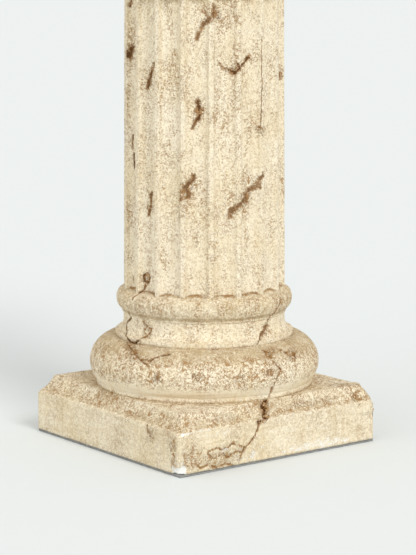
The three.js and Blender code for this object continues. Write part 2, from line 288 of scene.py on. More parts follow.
def makePlaster(name, group):
    material = bpy.data.materials.new(name)
    material.use_nodes = True
    tree = material.node_tree
    shader = tree.nodes["Principled BSDF"]
    finish = addNode(tree, "ShaderNodeGroup", {"node_tree": group})
    for key, colour in plasterLook.items():
        finish.inputs[key.capitalize()].default_value = colour
    for mark in plasterMarks:
        source = addNode(tree, "ShaderNodeAttribute", {"attribute_name": mark})
        tree.links.new(source.outputs["Fac"], finish.inputs[mark.capitalize()])
    bump = addNode(tree, "ShaderNodeBump", Strength=plasterRelief["strength"],
                   Distance=plasterRelief["distance"], Height=finish.outputs["Relief"])
    tree.links.new(finish.outputs["Colour"], shader.inputs["Base Color"])
    tree.links.new(finish.outputs["Roughness"], shader.inputs["Roughness"])
    tree.links.new(bump.outputs["Normal"], shader.inputs["Normal"])
    shader.inputs["Specular IOR Level"].default_value = plasterSheen
    return material


plaster = makePlaster("agedPlaster", makePlasterGroup())
print("plaster finish ready")


# Geometry trees

def newTree(name, floats, others=()):
    tree = bpy.data.node_groups.new(name, "GeometryNodeTree")
    tree.interface.new_socket("Geometry", in_out="INPUT", socket_type="NodeSocketGeometry")
    tree.interface.new_socket("Geometry", in_out="OUTPUT", socket_type="NodeSocketGeometry")
    for label in floats:
        tree.interface.new_socket(label, in_out="INPUT", socket_type="NodeSocketFloat")
    for label, kind in (*others, ("Finish", "NodeSocketMaterial")):
        tree.interface.new_socket(label, in_out="INPUT", socket_type=kind)
    return tree, tree.nodes.new("NodeGroupInput").outputs, tree.nodes.new("NodeGroupOutput").inputs


def endTree(tree, given, result, geometry):
    solid = addNode(tree, "GeometryNodeRealizeInstances", Geometry=geometry).outputs[0]
    dressed = addNode(tree, "GeometryNodeSetMaterial", Geometry=solid, Material=given["Finish"]).outputs[0]
    tree.links.new(dressed, result["Geometry"])
    return tree


def moved(tree, geometry, direction, distance):
    offset = addNode(tree, "ShaderNodeVectorMath", {"operation": "SCALE"}, i0=direction, Scale=distance)
    return addNode(tree, "GeometryNodeSetPosition", Geometry=geometry, Offset=offset.outputs[0]).outputs[0]


def makeFluteTree():
    sizes = ("Flutes", "Depth", "Arris width", "Turn", "Foot", "Head", "Wobble")
    tree, given, result = newTree("carveFlutes", sizes)
    plus, minus, times, over = arithmetic(tree)
    spot = tree.nodes.new("GeometryNodeInputPosition").outputs[0]
    x, y, z = addNode(tree, "ShaderNodeSeparateXYZ", Vector=spot).outputs
    radius = maths(tree, "SQRT", plus(maths(tree, "POWER", x, 2), maths(tree, "POWER", y, 2)))
    angle = maths(tree, "ARCTAN2", y, x)
    tall = addNode(tree, "ShaderNodeVectorMath", {"operation": "MULTIPLY"}, i0=spot, i1=(1, 1, 0.35))
    drift = times(minus(noiseOf(tree, tall.outputs[0], 22), 0.5), given["Wobble"])
    pitch = over(2 * math.pi, given["Flutes"])
    phase = maths(tree, "FRACT", plus(over(minus(angle, given["Turn"]), pitch), plus(drift, 10.0)))
    fromMiddle = times(maths(tree, "ABSOLUTE", minus(phase, 0.5)), pitch)
    halfHollow = times(minus(pitch, over(given["Arris width"], radius)), 0.5)
    share = maths(tree, "MINIMUM", over(fromMiddle, halfHollow), 1.0)
    curve = maths(tree, "POWER", minus(1.0, maths(tree, "POWER", share, 3.4), clamp=True), 0.6)
    fromFoot = times(minus(z, given["Foot"]), 2.0, clamp=True)  # the flutes run out in scallops at both ends
    fromHead = times(minus(given["Head"], z), 2.6, clamp=True)
    cut = maths(tree, "MINIMUM", times(curve, given["Depth"]), maths(tree, "MINIMUM", fromFoot, fromHead))
    outward = addNode(tree, "ShaderNodeCombineXYZ", X=over(x, radius), Y=over(y, radius)).outputs[0]
    return endTree(tree, given, result, moved(tree, given["Geometry"], outward, times(cut, -1)))


def makeWearTree():
    tree, given, result = newTree("wearPlaster", ("Swell", "Swell size", "Roughness", "Grain size"))
    plus, minus, times, over = arithmetic(tree)
    spot = tree.nodes.new("GeometryNodeInputPosition").outputs[0]
    normal = tree.nodes.new("GeometryNodeInputNormal").outputs[0]
    broad = noiseOf(tree, spot, over(1.0, given["Swell size"]), 2)
    narrow = noiseOf(tree, spot, over(1.0, given["Grain size"]), 3)
    lift = plus(times(minus(broad, 0.5), given["Swell"]), times(minus(narrow, 0.55), given["Roughness"]))
    return endTree(tree, given, result, moved(tree, given["Geometry"], normal, lift))


def makeRingTree():
    tree, given, result = newTree("ringOfCopies", (), [("Count", "NodeSocketInt")])
    line = addNode(tree, "GeometryNodeMeshLine", Count=given["Count"], Offset=(0, 0, 0))
    index = tree.nodes.new("GeometryNodeInputIndex").outputs[0]
    turn = maths(tree, "MULTIPLY", maths(tree, "DIVIDE", 2 * math.pi, given["Count"]), index)
    turned = addNode(tree, "ShaderNodeCombineXYZ", Z=turn).outputs[0]
    copies = addNode(tree, "GeometryNodeInstanceOnPoints", Points=line.outputs[0], Instance=given["Geometry"],
                     Rotation=turned)
    return endTree(tree, given, result, copies.outputs[0])


def bakedMesh(piece, modifier):
    graph = bpy.context.evaluated_depsgraph_get()
    graph.update()
    made = bpy.data.meshes.new_from_object(piece.evaluated_get(graph))
    piece.modifiers.remove(modifier)
    old = piece.data
    piece.data = made
    bpy.data.meshes.remove(old)
    return piece


def runTree(piece, tree, **values):
    modifier = piece.modifiers.new(tree.name, "NODES")
    modifier.node_group = tree
    for item in tree.interface.items_tree:
        key = item.name.replace(" ", "_")
        if item.in_out == "INPUT" and key in values:
            modifier[item.identifier] = values[key]
    return bakedMesh(piece, modifier)


fluteTree, wearTree, ringTree = makeFluteTree(), makeWearTree(), makeRingTree()


# Mesh helpers

def newPiece(name, points, faces, material=plaster):
    mesh = bpy.data.meshes.new(name)
    mesh.from_pydata([tuple(p) for p in points], [], faces)
    mesh.materials.append(material)
    mesh.validate()
    piece = bpy.data.objects.new(name, mesh)
    bpy.context.scene.collection.objects.link(piece)
    return piece


def smoothstep(value, low, high):
    share = np.clip((value - low) / (high - low), 0, 1)
    return share * share * (3 - 2 * share)


def fadedBump(value, start, full, fading, end):
    return smoothstep(value, start, full) * (1 - smoothstep(value, fading, end))


def resample(corners, step):
    points = [corners[0]]
    for a, b in zip(corners, corners[1:]):
        count = max(1, round(math.dist(a, b) / step))
        points += [tuple(p + (q - p) * i / count for p, q in zip(a, b)) for i in range(1, count + 1)]
    return points


def arc(r, z, size, fromAngle, toAngle, steps=24):
    angles = [math.radians(fromAngle + (toAngle - fromAngle) * i / steps) for i in range(steps + 1)]
    return [(r + size * math.cos(a), z + size * math.sin(a)) for a in angles]


def cove(start, end, steps=12, hollow=1.0):
    (r0, z0), (r1, z1) = start, end
    line = []
    for i in range(steps + 1):
        share = i / steps
        a = math.pi / 2 * share
        line.append((r0 + (r1 - r0) * (share + hollow * (math.sin(a) - share)),
                     z0 + (z1 - z0) * (share + hollow * (1 - math.cos(a) - share))))
    return line


def skin(rings):
    count, last = len(rings[0]), len(rings) - 1
    points = [p for ring in rings for p in ring]
    faces = []
    for a in range(0, last * count, count):
        b = a + count
        faces += [(a + i, a + (i + 1) % count, b + (i + 1) % count, b + i) for i in range(count)]
    for a, ring in ((0, rings[0]), (last * count, rings[-1])):  # a fan closes each end
        points.append(tuple(np.mean(ring, axis=0)))
        for i in range(count):
            edge = (a + i, a + (i + 1) % count)
            faces.append((*(edge if a else edge[::-1]), len(points) - 1))
    return points, faces


# Column casting: shaft, round base and plinth

column = {
    "plinthSide": 310, "plinthFoot": 3.8, "plinthFace": 53.5, "plinthTop": 73.5,
    "coveInset": 15, "coveHollow": 0.4, "corner": 3.5,
    "lipRadius": 137.6, "lipFoot": 73.2, "lipTop": 76.4,
    "torusRadius": 112.2, "torusMiddle": 101.5, "torusTube": 33.5,
    "fillet": [(111.0, 134.2), (111.0, 135.6), (112.6, 136.3), (112.8, 141.5)],  # radius and height
    "neckRadius": 102.2, "coveTop": 156.3,
    "band": [(102.2, 164.8), (103.9, 165.5), (103.9, 168.2)],
    "noseProud": 9.3, "noseHeight": 182.6, "noseHalf": 13.2,  # the astragal's round nose
    "shaftFoot": 196.0, "scallops": 7.7, "shaftHead": 566.5, "headRadius": 99.4,
    "beadRadius": 6.6, "beadHeight": 575.2, "beadProud": 1.2, "beadTop": 582.3, "neckingTop": 584.5,
    "flutes": 18, "fluteDepth": 7.5, "arris": 6.5, "fluteTurn": -2.4, "wobble": 0.07,
    "step": 2.5, "crisp": 0.5,  # mesh rows along the profile, and close beside its sharp edges
    "plinthSteps": (2.4, 1.9, 3.2),  # on the face, the cove and the top
    # Mesh columns across a flute, as shares of its pitch from an arris: closest where its walls are steep
    "stations": [0, 0.05, 0.085, 0.105, 0.13, 0.165, 0.22, 0.29, 0.37, 0.46, 0.54, 0.63, 0.71, 0.78, 0.835,
                 0.87, 0.895, 0.92, 0.95],
    "sideColumns": 104, "farSideColumns": 58,
}


def roundProfile():
    c = column
    neck, head = c["neckRadius"], c["headRadius"]
    torus = arc(c["torusRadius"], c["torusMiddle"], c["torusTube"], -41.8, 86)
    inner, foot, outer, neckFoot = c["fillet"]
    nose = [(neck + c["noseProud"] * math.cos(a), c["noseHeight"] + c["noseHalf"] * math.sin(a))
            for a in np.radians(range(-72, 51, 6))]
    bead = arc(head + c["beadProud"], c["beadHeight"], c["beadRadius"], -72, 72, 12)
    scallops = [(neck, c["shaftFoot"] + rise) for rise in np.linspace(0, c["scallops"], 8)]
    return [
        [(90, c["lipFoot"]), (c["lipRadius"], c["lipFoot"])],
        [(c["lipRadius"], c["lipFoot"]), (c["lipRadius"] + 0.3, c["lipTop"])],
        torus,
        [torus[-1], inner, foot],
        [foot, outer, neckFoot],
        cove(neckFoot, (neck, c["coveTop"])) + [c["band"][0]],
        c["band"],
        [c["band"][-1]] + nose + [(neck, c["shaftFoot"])],
        *([a, b] for a, b in zip(scallops, scallops[1:])),
        [scallops[-1], (head, c["shaftHead"])],
        [(head, c["shaftHead"])] + bead + [(head, c["beadTop"])],
        [(head, c["beadTop"]), (head, c["neckingTop"])],
        [(head, c["neckingTop"]), (60, c["neckingTop"])],
    ]


def crispProfile(runs, step, crisp):
    points = [runs[0][0]]
    for run in runs:
        line = np.array(run, float)
        length = np.concatenate([[0], np.cumsum(np.hypot(*np.diff(line, axis=0).T))])
        count = max(1, round(length[-1] / step))
        stations = np.linspace(0, length[-1], count + 1)
        if length[-1] > 3 * crisp:
            stations = np.concatenate([[0, crisp], stations[1:-1], [length[-1] - crisp, length[-1]]])
        for at in stations[1:] if math.dist(points[-1], run[0]) < 0.02 else stations:
            points.append(tuple(float(np.interp(at, length, values)) for values in line.T))
    return points


def roundAngles():
    pitch = 2 * math.pi / column["flutes"]
    front = math.radians(view["azimuth"])
    angles = []
    for i in range(column["flutes"]):
        start = math.radians(column["fluteTurn"]) + i * pitch
        facing = math.cos(start + pitch / 2 - front) > -0.25  # the flutes at the back have half the mesh
        angles += [start + pitch * share for share in column["stations"][::1 if facing else 2]]
    return angles


def makeRoundBody():
    profile = crispProfile(roundProfile(), column["step"], column["crisp"])
    angles = roundAngles()
    rings = [[(r * mm * math.cos(a), r * mm * math.sin(a), z * mm) for a in angles] for r, z in profile]
    return newPiece("roundBody", *skin(rings)), profile


def squareRing(half, height, cut, counts):
    corners = [(-half, -half), (half, -half), (half, half), (-half, half)]
    ring = []
    for i in range(4):
        a, b = Vector(corners[i]), Vector(corners[(i + 1) % 4])
        for k in range(counts[i]):
            p = a.lerp(b, k / counts[i])
            over = abs(p.x) + abs(p.y) - (2 * half - cut * 1.2)
            if over > 0:
                p -= Vector((math.copysign(over / 2, p.x), math.copysign(over / 2, p.y)))
            ring.append((p.x * mm, p.y * mm, height * mm))
    return ring


def makePlinth():
    c = column
    half = c["plinthSide"] / 2
    top = half - c["coveInset"]
    onFace, onCove, onTop = c["plinthSteps"]
    path = resample([(half, c["plinthFoot"]), (half, c["plinthFace"])], onFace)
    path += resample(cove((half, c["plinthFace"]), (top, c["plinthTop"]), hollow=c["coveHollow"]), onCove)[1:]
    path += resample([(top, c["plinthTop"]), (104, c["plinthTop"])], onTop)[1:]
    counts = [c["sideColumns"], c["farSideColumns"], c["farSideColumns"], c["sideColumns"]]
    rings = [squareRing(h, z, c["corner"], counts) for h, z in path]
    return newPiece("plinthBlock", *skin(rings))


roundBody, turnedProfile = makeRoundBody()
plinthBlock = makePlinth()
print("column shells:", len(roundBody.data.polygons), len(plinthBlock.data.polygons))

# Cracks and losses: width, depth, darkness, raggedness and the points on the way. The points were picked in
# the photo and turned into places on the column with the fitted camera, and some were moved.
# Points on the round parts are degrees round the column and height, those on the plinth are places
cracks = {
    "round": [
        (3.4, 2, 0.62, 1.6, [(-120.4, 553), (-119.5, 546), (-121.9, 540), (-124, 535), (-128.1, 531),
         (-130.4, 524), (-132.7, 514)]),
        (2.6, 1.5, 0.5, 1.2, [(-127.4, 546), (-125.3, 540), (-124, 535)]),
        (5, 2.5, 0.85, 1.6, [(162.3, 499), (161, 493), (160, 488)]),
        (3.2, 2.4, 0.8, 1, [(-168.5, 481), (-171.5, 471), (-173.6, 462), (-174.8, 452)]),
        (2.6, 2.4, 0.85, 1.2, [(-115.4, 483), (-113.1, 477), (-107.8, 475.5), (-105.9, 472), (-101.6, 477),
         (-95.1, 484.5), (-91.2, 490)]),
        (2.2, 1.8, 0.8, 0.8, [(-103.2, 483), (-101.6, 477)]),
        (3.8, 2.6, 0.85, 1.4, [(-131.9, 438.5), (-131.2, 428.5), (-131.2, 420), (-133.4, 415.5)]),
        (2.4, 1.4, 0.6, 1, [(-133.4, 415.5), (-136.3, 405.5)]),
        (3.2, 1.6, 0.6, 0.8, [(-47.1, 466), (-46, 461)]),
        (1.1, 0.8, 0.3, 0.6, [(-82.6, 512), (-82.8, 484), (-82.6, 455)]),
        (1.3, 1.6, 0.6, 0.5, [(-82.6, 455), (-83, 438), (-83, 423), (-84.3, 404)]),
        (2.3, 2.2, 1, 0.5, [(164.4, 368), (165.2, 351)]),
        (1.7, 1.4, 0.65, 1.2, [(160.4, 549), (160.8, 554), (161, 560)]),
        (1.8, 1.4, 0.8, 0.7, [(163.2, 391), (162.6, 383), (162.3, 375)]),
        (1.3, 1.2, 0.6, 0.6, [(162.5, 214), (163.6, 205)]),
        (3.2, 2, 0.72, 1, [(-171, 322), (-172.2, 307), (-173.7, 297)]),
        (3.4, 2.2, 0.68, 1.6, [(-134.9, 347), (-136.3, 340), (-140.2, 335), (-142.1, 328), (-144.2, 318)]),
        (2.8, 1.8, 0.62, 1.2, [(-140.2, 333), (-139, 320.5)]),
        (4.2, 2.2, 0.62, 2, [(-80.7, 346.5), (-84.3, 337), (-86.7, 330), (-93.3, 324), (-95.3, 316),
         (-101.7, 310), (-107.3, 304), (-107.9, 297.5)]),
        (2, 2.2, 0.85, 0.8, [(-178, 219.4), (-175.5, 222), (-172.4, 218), (-174.4, 211), (-178, 211.9),
         (-178, 219.4)]),
        (1.2, 1.2, 0.6, 0.5, [(-177.2, 210), (-177.6, 202), (179.5, 195.6), (178.3, 189)]),
        (1.9, 2.4, 0.95, 0.7, [(167.5, 168.8), (168.9, 162.9), (160, 151.8), (167.5, 143.9), (173.5, 139),
         (-176.6, 135), (-174.8, 139)]),
        (1.3, 1.4, 0.6, 1, [(-174.8, 139), (-170.5, 145.7), (-167.2, 153.4), (-173.3, 159.5)]),
        (1.5, 2, 0.85, 0.7, [(176.1, 134.5), (-175, 132.7), (-168.3, 128.9), (-162.6, 123.8),
         (-156.3, 123.4), (-151.9, 128.7), (-146.8, 131.5)]),
        (1.8, 1.4, 0.55, 1, [(-162.5, 123.6), (-156.5, 117.2)]),
        (1.5, 1.8, 0.72, 0.7, [(-66.8, 190), (-70.2, 181), (-72.6, 172), (-76.9, 163.4), (-78.7, 154.4),
         (-86.2, 146), (-91.4, 137)]),
        (3, 1.8, 0.75, 2, [(-78.6, 158), (-81.5, 152), (-85, 147)]),
        (2.4, 1.4, 0.7, 2.4, [(-80.5, 130), (-77, 125), (-73.5, 122), (-76, 116)]),
        (1.3, 1.8, 0.6, 0.8, [(-92.1, 132.6), (-90.8, 125), (-89.2, 117), (-86.3, 110.3), (-89.2, 101),
         (-91.5, 88.8), (-92.5, 76.5)]),
        (1.5, 1.4, 0.6, 0.8, [(-95.4, 110.3), (-93.4, 112.2), (-91.4, 109), (-92.8, 105.2), (-95.6, 106.4),
         (-95.4, 110.3)]),
    ],
    "block": [
        (4.4, 5, 0.95, 2, [(-12.3, -140, 73.5), (-19, -141.5, 67), (-17.8, -147, 61.4), (-24, -154, 55),
         (-34.7, -155, 50.8)]),
        (1.5, 2, 0.66, 0.8, [(-34.7, -155, 50.8), (-36.7, -155, 42.4), (-44.5, -155, 31.1),
         (-56.1, -155, 23.4), (-65.3, -155, 9.3)]),
        (1.5, 1.2, 0.6, 1.6, [(-56, -155, 24), (-74, -155, 31), (-90, -155, 26), (-104, -155, 30),
         (-114, -155, 25), (-104, -155, 17), (-92, -155, 20), (-82, -155, 15), (-70, -155, 20),
         (-60, -155, 18)]),
        (1.6, 1, 0.5, 1.8, [(-132, -155, 15), (-124, -155, 8), (-112, -155, 12), (-100, -155, 5),
         (-88, -155, 9), (-76, -155, 3)]),
        (1.4, 1.4, 0.6, 1.2, [(-155, -89.3, 53), (-155, -91, 47), (-155, -94.5, 41)]),
        (2, 2, 0.6, 1, [(131, -142, 72), (129.9, -147, 61.3), (128.1, -151, 56.2), (127.2, -155, 50)]),
        (3.6, 2.2, 0.55, 1.6, [(153, -154, 46), (153.5, -154, 35)]),
        (2, 1.6, 0.6, 1.2, [(-142, 120, 71), (-128, 131, 73.5)]),
    ],
}
firstCrack = {"round": 0, "block": len(cracks["round"])}
# Thickly pitted places, as degrees and height with a reach in millimetres
pittedPatches = [(-117, 545, 34), (-104, 478, 30), (-131, 424, 26), (-140, 332, 26), (-98, 318, 34),
    (-174, 462, 22), (-176, 216, 12), (161, 500, 32), (-128, 300, 24), (-150, 470, 26), (-165, 160, 22),
    (-90, 415, 22), (161, 440, 26), (162, 300, 24)]
# Torn and burnt places, told in the same way
tornPatches = [(-176.5, 134, 15), (-168, 126, 13), (-171, 150, 11), (-74.5, 123, 13), (-80.5, 151, 9),
    (-88.5, 129, 11), (-93.5, 108, 7), (-117, 541, 9), (161.3, 493, 10), (-173, 460, 9), (-131.5, 425, 9),
    (-140, 332, 12), (-98, 316, 15), (-176.2, 216, 6), (-172.6, 305, 7), (-46.5, 464, 6), (-83, 400, 8),
    (-105, 476, 8), (-150, 105, 10), (-130, 108, 9), (-110, 107, 9)]
# White losses and scuffs on the plinth near its front corner, and two thin pale lines along the top edge of
# its faces that are partly white wear and partly painted highlight; as place, reach and strength
chalkChipsAndEdgeHighlights = [((-154, -154, 1), (11, 12, 16), 1), ((-155, -144, 8), (4, 8, 8), 0.8),
    ((-148, -155, 52.5), (10, 4, 2.4), 0.8), ((-154.5, -154.5, 40), (3, 3, 14), 0.6),
    ((-50, -155, 12), (34, 2, 9), 0.42), ((-10, -155, 22), (44, 2, 12), 0.34),
    ((-96, -155, 46), (40, 2, 7), 0.4), ((-120, -155, 54), (36, 3, 2), 0.5),
    ((-88, -155, 26), (12, 2, 5), 0.5), ((60, -155, 9), (100, 2, 10), 0.5),
    ((-155, 0, 52.6), (3, 150, 1.6), 0.34), ((20, -155, 52.6), (130, 3, 1.6), 0.3)]
# Brown, torn places on the plinth, as place, reach, stain and burnt
plinthPatches = [((-134, -155, 20), (22, 4, 20), 0.42, 0.35), ((-95, -155, 16), (44, 4, 17), 0.4, 0.45),
    ((-15, -145, 66), (7, 12, 12), 0.55, 0.9), ((-155, -142, 30), (4, 8, 26), 0.45, 0.45),
    ((128, -150, 60), (10, 12, 9), 0.5, 0.8), ((148, -148, 46), (8, 8, 9), 0.45, 0.7),
    ((120, -128, 73), (16, 14, 6), 0.45, 0.7), ((-150, 128, 66), (8, 14, 8), 0.4, 0.6),
    ((-146, -60, 58), (6, 30, 6), 0.3, 0.5), ((-155, -96, 44), (4, 10, 12), 0.35, 0.5),
    ((-80, -146, 62), (30, 8, 8), 0.28, 0.5), ((60, -146, 62), (60, 8, 8), 0.32, 0.6)]
# Bands of grime and painted shade on the round parts: strength, then the heights where each starts, is full,
# fades and ends. The first is grime on the torus's top and the third grime on the astragal's nose; the second
# is painted shade under the astragal, the fourth painted shadow under the bead at the shaft's head, the fifth
# painted shade on the lip under the torus, and the last darkens the foot of the neck
grimeBands = [(0.72, 106, 128, 134.5, 136.5), (0.72, 165, 168, 170, 179), (0.58, 170, 176, 196, 200),
              (0.45, 555, 566, 566, 571), (0.9, 0, 1, 74.2, 77), (0.35, 140, 142, 143, 150)]
# Corners of the plinth rounded by knocks: degrees round the column, the height where the wear starts, how far
# in it reaches at the top, how suddenly, and whether the corner's ridge is swollen
wornCorners = [{"turn": -45, "from": 38, "reach": 18, "power": 2.0, "swollen": 1.0},
               {"turn": 135, "from": 48, "reach": 20, "power": 1.3, "swollen": 0.0},
               {"turn": -135, "from": 50, "reach": 20, "power": 1.3, "swollen": 0.0}]
# How ragged and deep a crack's share is and how far its rim goes, for slits narrower than this and for gouges
slitBelow = 2
slit = {"ragged": 0.5, "deep": 0.9, "rim": 1.55}
gouge = {"ragged": 1.0, "deep": 0.5, "rim": 1.7}
chipDepth = 1.8
# How each piece swells, over what size, and how rough it is
wear = {"roundBody": (1.1, 38, 0.9), "plinthBlock": (1.3, 38, 0.9), "capitalCasting": (0.9, 34, 0.7)}
wearGrain = 7
# What is added to a mark's number for each of its noises
seeds = {"tear": 50, "deep": 90, "field": 130, "wander": 200, "torn": 300, "corner": 400, "plinth": 500}


def cylinderMap(points):
    radii, heights = np.array(turnedProfile).T
    along = np.concatenate([[0], np.cumsum(np.hypot(np.diff(radii), np.diff(heights)))])
    order = np.argsort(heights, kind="stable")
    angle = np.arctan2(points[:, 1], points[:, 0]) - math.radians(view["azimuth"])
    angle = (angle + np.pi) % (2 * np.pi) - np.pi
    radius, travel = (np.interp(points[:, 2], heights[order], values[order]) for values in (radii, along))
    return np.stack([angle * radius, travel], 1)


def onRound(places):
    spots = [(math.cos(math.radians(angle)), math.sin(math.radians(angle)), level) for angle, level in places]
    return cylinderMap(np.array(spots))


def crackPath(kind, points):
    return onRound(points) if kind == "round" else np.array(points, float)


def distanceToPath(points, path):
    best = np.full(len(points), 1e9)
    for a, b in zip(path, path[1:]):
        line = b - a
        share = np.clip(((points - a) @ line) / max(line @ line, 1e-9), 0, 1)
        best = np.minimum(best, np.linalg.norm(points - a - share[:, None] * line, axis=1))
    return best


def verticesOf(piece):
    flat = np.empty(len(piece.data.vertices) * 3)
    piece.data.vertices.foreach_get("co", flat)
    return flat.reshape(-1, 3) / mm


def normalsOf(piece):
    flat = np.empty(len(piece.data.vertices) * 3)
    piece.data.vertex_normals.foreach_get("vector", flat)
    return flat.reshape(-1, 3)


def refineNear(piece, kind):
    spots = verticesOf(piece)
    where = cylinderMap(spots) if kind == "round" else spots
    near = np.zeros(len(spots), bool)
    for width, *_, points in cracks[kind]:
        near |= distanceToPath(where, crackPath(kind, points)) < width * 1.2 + 1.6
    work = bmesh.new()
    work.from_mesh(piece.data)
    work.verts.ensure_lookup_table()
    edges = [e for e in work.edges if near[e.verts[0].index] and near[e.verts[1].index]]
    bmesh.ops.subdivide_edges(work, edges=edges, cuts=1, use_grid_fill=True)
    bmesh.ops.triangulate(work, faces=[f for f in work.faces if len(f.verts) > 4])
    work.to_mesh(piece.data)
    work.free()


refineNear(roundBody, "round")
refineNear(plinthBlock, "block")
print("refined near cracks:", len(roundBody.data.polygons), len(plinthBlock.data.polygons))


def carveFlutes(piece):
    c = column
    runTree(piece, fluteTree, Flutes=float(c["flutes"]), Depth=c["fluteDepth"] * mm,
            Arris_width=c["arris"] * mm, Turn=math.radians(c["fluteTurn"]), Foot=c["shaftFoot"] * mm,
            Head=c["shaftHead"] * mm, Wobble=c["wobble"], Finish=plaster)


def wearPiece(piece):
    swell, size, rough = wear[piece.name]
    runTree(piece, wearTree, Swell=swell * mm, Swell_size=size * mm, Roughness=rough * mm,
            Grain_size=wearGrain * mm, Finish=plaster)


carveFlutes(roundBody)
wearPiece(roundBody)
wearPiece(plinthBlock)
print("flutes carved and plaster worn")


def softNoise(points, size, seed):
    rng = np.random.default_rng(seed)
    total = np.zeros(len(points))
    for _ in range(10):
        direction = rng.normal(size=3)
        direction /= np.linalg.norm(direction)
        waves = points @ direction * (2 * np.pi / size) * rng.uniform(0.6, 1.7)
        total += np.sin(waves + rng.uniform(0, 6.28))
    return total / 5.0


def wearCorners(spots):
    diagonal = column["plinthSide"] / 2 * math.sqrt(2) - column["corner"] * 0.85
    for number, corner in enumerate(wornCorners):
        way = np.array([math.cos(math.radians(corner["turn"])), math.sin(math.radians(corner["turn"]))])
        out = spots[:, :2] @ way
        aside = spots[:, :2] @ np.array([-way[1], way[0]])
        rise = np.clip((spots[:, 2] - corner["from"]) / (column["plinthTop"] - corner["from"]), 0, 1)
        limit = diagonal - corner["reach"] * rise ** corner["power"]
        limit = limit + 1.3 * softNoise(spots, 9, seeds["corner"] + number) * (rise > 0)
        inward = np.maximum(out - limit, 0)
        onRidge = np.exp(-(aside / 13) ** 2) * (out > 186) * (rise > 0)
        outward = np.clip(limit - out, 0, 9) * onRidge * corner["swollen"]
        spots = spots + np.concatenate([(outward - inward)[:, None] * way, np.zeros((len(spots), 1))], 1)
    return spots


def setMarks(piece, **marks):
    mesh = piece.data
    for name, values in marks.items():
        layer = mesh.attributes.get(name) or mesh.attributes.new(name, "FLOAT", "POINT")
        layer.data.foreach_set("value", np.clip(values, 0, 1).astype(np.float32))


def overlaid(stain, burnt, patch, dark):
    return np.maximum(stain, patch), np.where(patch > stain, dark, burnt)


def damage(piece, kind):
    spots = verticesOf(piece) if kind == "round" else wearCorners(verticesOf(piece))
    where = cylinderMap(spots) if kind == "round" else spots
    noise = partial(softNoise, spots)
    stain, burnt, sink, chalk = (np.zeros(len(spots)) for _ in range(4))
    for number, (width, depth, dark, rag, points) in enumerate(cracks[kind], firstCrack[kind]):
        cut = slit if width < slitBelow else gouge
        ragged = rag * 0.5 * (noise(8.0, number) + noise(3.6, number + seeds["tear"]))
        wander = [0.9 * noise(12.0, number + seeds["wander"] + k) for k in range(where.shape[1])]
        gap = distanceToPath(where + np.stack(wander, 1), crackPath(kind, points)) + ragged * cut["ragged"]
        gap = np.maximum(gap, 0)
        deep = depth * cut["deep"] * (0.8 + 0.5 * noise(6.5, number + seeds["deep"]))
        sink = np.maximum(sink, deep * (1 - smoothstep(gap, width * 0.15, width)))
        uneven = np.clip(0.95 + 0.3 * noise(20, number + seeds["field"]), 0.3, 1)
        stain, burnt = overlaid(stain, burnt, (1 - smoothstep(gap, 0, width * cut["rim"])) * uneven, dark)
    if kind == "block":
        for place, reach, strength in chalkChipsAndEdgeHighlights:
            inside = np.linalg.norm((spots - place) / reach, axis=1) + 0.3 * noise(7, 5) + 0.12 * noise(3, 6)
            solid = 0.85 if strength == 1 else 0.3  # how far out the white is full
            chalk = np.maximum(chalk, strength * (1 - smoothstep(inside, solid, 1.05)))
        stain *= 1 - np.where(chalk > 0.6, chalk, 0)
        sink = np.maximum(sink, chipDepth * smoothstep(chalk, 0.7, 1.0))
    spots = spots - normalsOf(piece) * sink[:, None]
    piece.data.vertices.foreach_set("co", (spots * mm).ravel())
    setMarks(piece, chalk=chalk)
    return spots, where, stain, burnt


